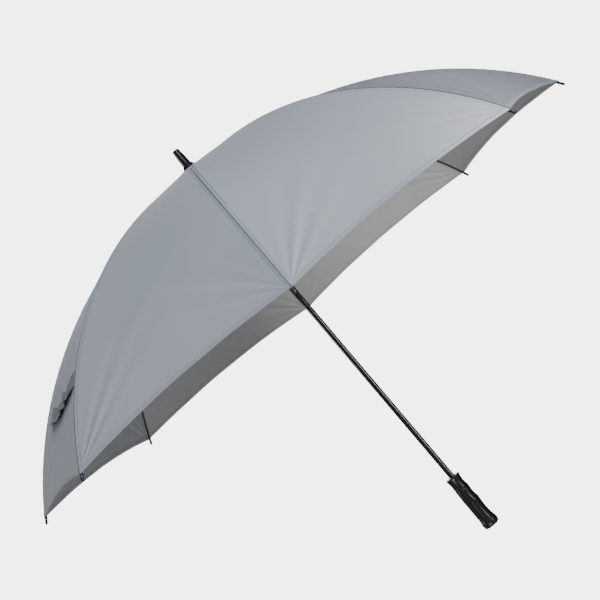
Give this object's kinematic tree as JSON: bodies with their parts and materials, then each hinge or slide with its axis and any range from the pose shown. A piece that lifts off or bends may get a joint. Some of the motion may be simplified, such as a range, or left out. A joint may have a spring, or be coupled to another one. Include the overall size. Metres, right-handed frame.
{
  "type": "stick umbrella",
  "caption": "Open long stick umbrella: domed cloth canopy on hinged ribs and stretchers, sliding runner, round shaft, ferrule and straight moulded hand grip.",
  "frame": {"origin": "centre of the flat face at the lower end of the handle", "axes": "+Z along the shaft towards the ferrule; +X along rib 1; ribs are numbered anticlockwise seen from the ferrule; the canopy is open at rest"},
  "size_m": [1.3104, 1.3104, 0.943],
  "materials": {
    "canopy_cloth": "plain-weave coated polyester cloth, satin sheen",
    "strap_cloth": "doubled cloth, crumpled",
    "blackened_steel": "black coated sheet steel, satin",
    "rod_black": "black resin rod, semi-gloss",
    "shaft_black": "black gloss coating",
    "grip_black": "matt soft-touch",
    "ferrule_black": "gloss black",
    "black_plastic": "satin black moulding",
    "spring_wire": "bright drawn wire and strip"
  },
  "bodies": {
    "shaft_assembly": {"shaft": "shaft_black", "crown_notch": "black_plastic", "crown_wire": "spring_wire", "ferrule": "ferrule_black", "rain_cap": "ferrule_black", "handle_grip": "grip_black", "handle_end_cap": "black_plastic"},
    "runner": {"runner": "black_plastic", "runner_wire": "spring_wire"},
    "rib_inner_1": {"rib_inner_1": "blackened_steel"},
    "rib_outer_1": {"rib_outer_1": "rod_black", "rib_tip_1": "black_plastic"},
    "stretcher_1": {"stretcher_1": "blackened_steel"},
    "panel_inner_1": {"panel_inner_1": "canopy_cloth"},
    "panel_outer_1": {"panel_outer_1": "canopy_cloth"},
    "rib_inner_2": {"rib_inner_2": "blackened_steel"},
    "rib_outer_2": {"rib_outer_2": "rod_black", "rib_tip_2": "black_plastic"},
    "stretcher_2": {"stretcher_2": "blackened_steel"},
    "panel_inner_2": {"panel_inner_2": "canopy_cloth"},
    "panel_outer_2": {"panel_outer_2": "canopy_cloth"},
    "rib_inner_3": {"rib_inner_3": "blackened_steel"},
    "rib_outer_3": {"rib_outer_3": "rod_black", "rib_tip_3": "black_plastic"},
    "stretcher_3": {"stretcher_3": "blackened_steel"},
    "panel_inner_3": {"panel_inner_3": "canopy_cloth"},
    "panel_outer_3": {"panel_outer_3": "canopy_cloth"},
    "rib_inner_4": {"rib_inner_4": "blackened_steel"},
    "rib_outer_4": {"rib_outer_4": "rod_black", "rib_tip_4": "black_plastic"},
    "stretcher_4": {"stretcher_4": "blackened_steel"},
    "panel_inner_4": {"panel_inner_4": "canopy_cloth"},
    "panel_outer_4": {"panel_outer_4": "canopy_cloth"},
    "rib_inner_5": {"rib_inner_5": "blackened_steel"},
    "rib_outer_5": {"rib_outer_5": "rod_black", "rib_tip_5": "black_plastic"},
    "stretcher_5": {"stretcher_5": "blackened_steel"},
    "panel_inner_5": {"panel_inner_5": "canopy_cloth"},
    "panel_outer_5": {"panel_outer_5": "canopy_cloth", "tie_strap": "strap_cloth"},
    "rib_inner_6": {"rib_inner_6": "blackened_steel"},
    "rib_outer_6": {"rib_outer_6": "rod_black", "rib_tip_6": "black_plastic"},
    "stretcher_6": {"stretcher_6": "blackened_steel"},
    "panel_inner_6": {"panel_inner_6": "canopy_cloth"},
    "panel_outer_6": {"panel_outer_6": "canopy_cloth"},
    "rib_inner_7": {"rib_inner_7": "blackened_steel"},
    "rib_outer_7": {"rib_outer_7": "rod_black", "rib_tip_7": "black_plastic"},
    "stretcher_7": {"stretcher_7": "blackened_steel"},
    "panel_inner_7": {"panel_inner_7": "canopy_cloth"},
    "panel_outer_7": {"panel_outer_7": "canopy_cloth"},
    "rib_inner_8": {"rib_inner_8": "blackened_steel"},
    "rib_outer_8": {"rib_outer_8": "rod_black", "rib_tip_8": "black_plastic"},
    "stretcher_8": {"stretcher_8": "blackened_steel"},
    "panel_inner_8": {"panel_inner_8": "canopy_cloth"},
    "panel_outer_8": {"panel_outer_8": "canopy_cloth"},
    "top_spring_catch": {"top_spring_catch": "spring_wire"},
    "bottom_spring_catch": {"bottom_spring_catch": "spring_wire"}
  },
  "joints": [
    {"name": "fold", "type": "hinge", "parent": "shaft_assembly", "child": "rib_inner_1", "pos_m": [0.013, 0, 0.887], "axis": [0, 1, 0], "range_deg": [0, 76.15], "deforming": ["panel_inner_1", "panel_outer_1", "panel_inner_2", "panel_outer_2", "panel_inner_3", "panel_outer_3", "panel_inner_4", "panel_outer_4", "panel_inner_5", "panel_outer_5", "panel_inner_6", "panel_outer_6", "panel_inner_7", "panel_outer_7", "panel_inner_8", "panel_outer_8", "tie_strap", "top_spring_catch", "bottom_spring_catch"]},
    {"name": "rib_1_flex", "type": "hinge", "parent": "rib_inner_1", "child": "rib_outer_1", "pos_m": [0.36113, 0, 0.80722], "axis": [0, 1, 0], "range_deg": [-27.05, 0]},
    {"name": "stretcher_1_pin", "type": "hinge", "parent": "rib_inner_1", "child": "stretcher_1", "pos_m": [0.35849, 0, 0.80183], "axis": [0, 1, 0], "range_deg": [-152.35, 0]},
    {"name": "panel_1_fold", "type": "hinge", "parent": "shaft_assembly", "child": "panel_inner_1", "pos_m": [0.0111, 0.0046, 0.887], "axis": [-0.3827, 0.9239, 0], "range_deg": [0, 74.46]},
    {"name": "panel_1_crease", "type": "hinge", "parent": "panel_inner_1", "child": "panel_outer_1", "pos_m": [0.30956, 0.12822, 0.81036], "axis": [-0.3827, 0.9239, 0], "range_deg": [-28.16, 0]},
    {"name": "rib_2_fold", "type": "hinge", "parent": "shaft_assembly", "child": "rib_inner_2", "pos_m": [0.00919, 0.00919, 0.887], "axis": [-0.7071, 0.7071, 0], "range_deg": [0, 76.15]},
    {"name": "rib_2_flex", "type": "hinge", "parent": "rib_inner_2", "child": "rib_outer_2", "pos_m": [0.25536, 0.25536, 0.80722], "axis": [-0.7071, 0.7071, 0], "range_deg": [-27.05, 0]},
    {"name": "stretcher_2_pin", "type": "hinge", "parent": "rib_inner_2", "child": "stretcher_2", "pos_m": [0.25349, 0.25349, 0.80183], "axis": [-0.7071, 0.7071, 0], "range_deg": [-152.35, 0]},
    {"name": "panel_2_fold", "type": "hinge", "parent": "shaft_assembly", "child": "panel_inner_2", "pos_m": [0.0046, 0.0111, 0.887], "axis": [-0.9239, 0.3827, 0], "range_deg": [0, 74.46]},
    {"name": "panel_2_crease", "type": "hinge", "parent": "panel_inner_2", "child": "panel_outer_2", "pos_m": [0.12822, 0.30956, 0.81036], "axis": [-0.9239, 0.3827, 0], "range_deg": [-28.16, 0]},
    {"name": "rib_3_fold", "type": "hinge", "parent": "shaft_assembly", "child": "rib_inner_3", "pos_m": [0, 0.013, 0.887], "axis": [-1, 0, 0], "range_deg": [0, 76.15]},
    {"name": "rib_3_flex", "type": "hinge", "parent": "rib_inner_3", "child": "rib_outer_3", "pos_m": [0, 0.36113, 0.80722], "axis": [-1, 0, 0], "range_deg": [-27.05, 0]},
    {"name": "stretcher_3_pin", "type": "hinge", "parent": "rib_inner_3", "child": "stretcher_3", "pos_m": [0, 0.35849, 0.80183], "axis": [-1, 0, 0], "range_deg": [-152.35, 0]},
    {"name": "panel_3_fold", "type": "hinge", "parent": "shaft_assembly", "child": "panel_inner_3", "pos_m": [-0.0046, 0.0111, 0.887], "axis": [-0.9239, -0.3827, 0], "range_deg": [0, 74.46]},
    {"name": "panel_3_crease", "type": "hinge", "parent": "panel_inner_3", "child": "panel_outer_3", "pos_m": [-0.12822, 0.30956, 0.81036], "axis": [-0.9239, -0.3827, 0], "range_deg": [-28.16, 0]},
    {"name": "rib_4_fold", "type": "hinge", "parent": "shaft_assembly", "child": "rib_inner_4", "pos_m": [-0.00919, 0.00919, 0.887], "axis": [-0.7071, -0.7071, 0], "range_deg": [0, 76.15]},
    {"name": "rib_4_flex", "type": "hinge", "parent": "rib_inner_4", "child": "rib_outer_4", "pos_m": [-0.25536, 0.25536, 0.80722], "axis": [-0.7071, -0.7071, 0], "range_deg": [-27.05, 0]},
    {"name": "stretcher_4_pin", "type": "hinge", "parent": "rib_inner_4", "child": "stretcher_4", "pos_m": [-0.25349, 0.25349, 0.80183], "axis": [-0.7071, -0.7071, 0], "range_deg": [-152.35, 0]},
    {"name": "panel_4_fold", "type": "hinge", "parent": "shaft_assembly", "child": "panel_inner_4", "pos_m": [-0.0111, 0.0046, 0.887], "axis": [-0.3827, -0.9239, 0], "range_deg": [0, 74.46]},
    {"name": "panel_4_crease", "type": "hinge", "parent": "panel_inner_4", "child": "panel_outer_4", "pos_m": [-0.30956, 0.12822, 0.81036], "axis": [-0.3827, -0.9239, 0], "range_deg": [-28.16, 0]},
    {"name": "rib_5_fold", "type": "hinge", "parent": "shaft_assembly", "child": "rib_inner_5", "pos_m": [-0.013, 0, 0.887], "axis": [0, -1, 0], "range_deg": [0, 76.15]},
    {"name": "rib_5_flex", "type": "hinge", "parent": "rib_inner_5", "child": "rib_outer_5", "pos_m": [-0.36113, 0, 0.80722], "axis": [0, -1, 0], "range_deg": [-27.05, 0]},
    {"name": "stretcher_5_pin", "type": "hinge", "parent": "rib_inner_5", "child": "stretcher_5", "pos_m": [-0.35849, 0, 0.80183], "axis": [0, -1, 0], "range_deg": [-152.35, 0]},
    {"name": "panel_5_fold", "type": "hinge", "parent": "shaft_assembly", "child": "panel_inner_5", "pos_m": [-0.0111, -0.0046, 0.887], "axis": [0.3827, -0.9239, 0], "range_deg": [0, 74.46]},
    {"name": "panel_5_crease", "type": "hinge", "parent": "panel_inner_5", "child": "panel_outer_5", "pos_m": [-0.30956, -0.12822, 0.81036], "axis": [0.3827, -0.9239, 0], "range_deg": [-28.16, 0]},
    {"name": "rib_6_fold", "type": "hinge", "parent": "shaft_assembly", "child": "rib_inner_6", "pos_m": [-0.00919, -0.00919, 0.887], "axis": [0.7071, -0.7071, 0], "range_deg": [0, 76.15]},
    {"name": "rib_6_flex", "type": "hinge", "parent": "rib_inner_6", "child": "rib_outer_6", "pos_m": [-0.25536, -0.25536, 0.80722], "axis": [0.7071, -0.7071, 0], "range_deg": [-27.05, 0]},
    {"name": "stretcher_6_pin", "type": "hinge", "parent": "rib_inner_6", "child": "stretcher_6", "pos_m": [-0.25349, -0.25349, 0.80183], "axis": [0.7071, -0.7071, 0], "range_deg": [-152.35, 0]},
    {"name": "panel_6_fold", "type": "hinge", "parent": "shaft_assembly", "child": "panel_inner_6", "pos_m": [-0.0046, -0.0111, 0.887], "axis": [0.9239, -0.3827, 0], "range_deg": [0, 74.46]},
    {"name": "panel_6_crease", "type": "hinge", "parent": "panel_inner_6", "child": "panel_outer_6", "pos_m": [-0.12822, -0.30956, 0.81036], "axis": [0.9239, -0.3827, 0], "range_deg": [-28.16, 0]},
    {"name": "rib_7_fold", "type": "hinge", "parent": "shaft_assembly", "child": "rib_inner_7", "pos_m": [0, -0.013, 0.887], "axis": [1, 0, 0], "range_deg": [0, 76.15]},
    {"name": "rib_7_flex", "type": "hinge", "parent": "rib_inner_7", "child": "rib_outer_7", "pos_m": [0, -0.36113, 0.80722], "axis": [1, 0, 0], "range_deg": [-27.05, 0]},
    {"name": "stretcher_7_pin", "type": "hinge", "parent": "rib_inner_7", "child": "stretcher_7", "pos_m": [0, -0.35849, 0.80183], "axis": [1, 0, 0], "range_deg": [-152.35, 0]},
    {"name": "panel_7_fold", "type": "hinge", "parent": "shaft_assembly", "child": "panel_inner_7", "pos_m": [0.0046, -0.0111, 0.887], "axis": [0.9239, 0.3827, 0], "range_deg": [0, 74.46]},
    {"name": "panel_7_crease", "type": "hinge", "parent": "panel_inner_7", "child": "panel_outer_7", "pos_m": [0.12822, -0.30956, 0.81036], "axis": [0.9239, 0.3827, 0], "range_deg": [-28.16, 0]},
    {"name": "rib_8_fold", "type": "hinge", "parent": "shaft_assembly", "child": "rib_inner_8", "pos_m": [0.00919, -0.00919, 0.887], "axis": [0.7071, 0.7071, 0], "range_deg": [0, 76.15]},
    {"name": "rib_8_flex", "type": "hinge", "parent": "rib_inner_8", "child": "rib_outer_8", "pos_m": [0.25536, -0.25536, 0.80722], "axis": [0.7071, 0.7071, 0], "range_deg": [-27.05, 0]},
    {"name": "stretcher_8_pin", "type": "hinge", "parent": "rib_inner_8", "child": "stretcher_8", "pos_m": [0.25349, -0.25349, 0.80183], "axis": [0.7071, 0.7071, 0], "range_deg": [-152.35, 0]},
    {"name": "panel_8_fold", "type": "hinge", "parent": "shaft_assembly", "child": "panel_inner_8", "pos_m": [0.0111, -0.0046, 0.887], "axis": [0.3827, 0.9239, 0], "range_deg": [0, 74.46]},
    {"name": "panel_8_crease", "type": "hinge", "parent": "panel_inner_8", "child": "panel_outer_8", "pos_m": [0.30956, -0.12822, 0.81036], "axis": [0.3827, 0.9239, 0], "range_deg": [-28.16, 0]},
    {"name": "runner_hinge", "type": "hinge", "parent": "stretcher_1", "child": "runner", "pos_m": [0.013, 0, 0.71667], "axis": [0, 1, 0], "range_deg": [0, 76.2]},
    {"name": "top_catch_press", "type": "slide", "parent": "shaft_assembly", "child": "top_spring_catch", "axis": [-0.3827, -0.9239, 0], "range_m": [0, 0.003], "stiffness_N_per_m": 1500},
    {"name": "bottom_catch_press", "type": "slide", "parent": "shaft_assembly", "child": "bottom_spring_catch", "axis": [-0.3827, -0.9239, 0], "range_m": [0, 0.003], "stiffness_N_per_m": 1500}
  ],
  "couplings": [
    {"joint": "rib_1_flex", "follows": "fold", "ratio": -0.35456},
    {"joint": "stretcher_1_pin", "follows": "fold", "ratio": -2},
    {"joint": "panel_1_fold", "follows": "fold", "ratio": 0.97718},
    {"joint": "panel_1_crease", "follows": "fold", "ratio": -0.36916},
    {"joint": "rib_2_fold", "follows": "fold", "ratio": 1},
    {"joint": "rib_2_flex", "follows": "fold", "ratio": -0.35456},
    {"joint": "stretcher_2_pin", "follows": "fold", "ratio": -2},
    {"joint": "panel_2_fold", "follows": "fold", "ratio": 0.97718},
    {"joint": "panel_2_crease", "follows": "fold", "ratio": -0.36916},
    {"joint": "rib_3_fold", "follows": "fold", "ratio": 1},
    {"joint": "rib_3_flex", "follows": "fold", "ratio": -0.35456},
    {"joint": "stretcher_3_pin", "follows": "fold", "ratio": -2},
    {"joint": "panel_3_fold", "follows": "fold", "ratio": 0.97718},
    {"joint": "panel_3_crease", "follows": "fold", "ratio": -0.36916},
    {"joint": "rib_4_fold", "follows": "fold", "ratio": 1},
    {"joint": "rib_4_flex", "follows": "fold", "ratio": -0.35456},
    {"joint": "stretcher_4_pin", "follows": "fold", "ratio": -2},
    {"joint": "panel_4_fold", "follows": "fold", "ratio": 0.97718},
    {"joint": "panel_4_crease", "follows": "fold", "ratio": -0.36916},
    {"joint": "rib_5_fold", "follows": "fold", "ratio": 1},
    {"joint": "rib_5_flex", "follows": "fold", "ratio": -0.35456},
    {"joint": "stretcher_5_pin", "follows": "fold", "ratio": -2},
    {"joint": "panel_5_fold", "follows": "fold", "ratio": 0.97718},
    {"joint": "panel_5_crease", "follows": "fold", "ratio": -0.36916},
    {"joint": "rib_6_fold", "follows": "fold", "ratio": 1},
    {"joint": "rib_6_flex", "follows": "fold", "ratio": -0.35456},
    {"joint": "stretcher_6_pin", "follows": "fold", "ratio": -2},
    {"joint": "panel_6_fold", "follows": "fold", "ratio": 0.97718},
    {"joint": "panel_6_crease", "follows": "fold", "ratio": -0.36916},
    {"joint": "rib_7_fold", "follows": "fold", "ratio": 1},
    {"joint": "rib_7_flex", "follows": "fold", "ratio": -0.35456},
    {"joint": "stretcher_7_pin", "follows": "fold", "ratio": -2},
    {"joint": "panel_7_fold", "follows": "fold", "ratio": 0.97718},
    {"joint": "panel_7_crease", "follows": "fold", "ratio": -0.36916},
    {"joint": "rib_8_fold", "follows": "fold", "ratio": 1},
    {"joint": "rib_8_flex", "follows": "fold", "ratio": -0.35456},
    {"joint": "stretcher_8_pin", "follows": "fold", "ratio": -2},
    {"joint": "panel_8_fold", "follows": "fold", "ratio": 0.97718},
    {"joint": "panel_8_crease", "follows": "fold", "ratio": -0.36916},
    {"joint": "runner_hinge", "follows": "fold", "ratio": 1}
  ]
}
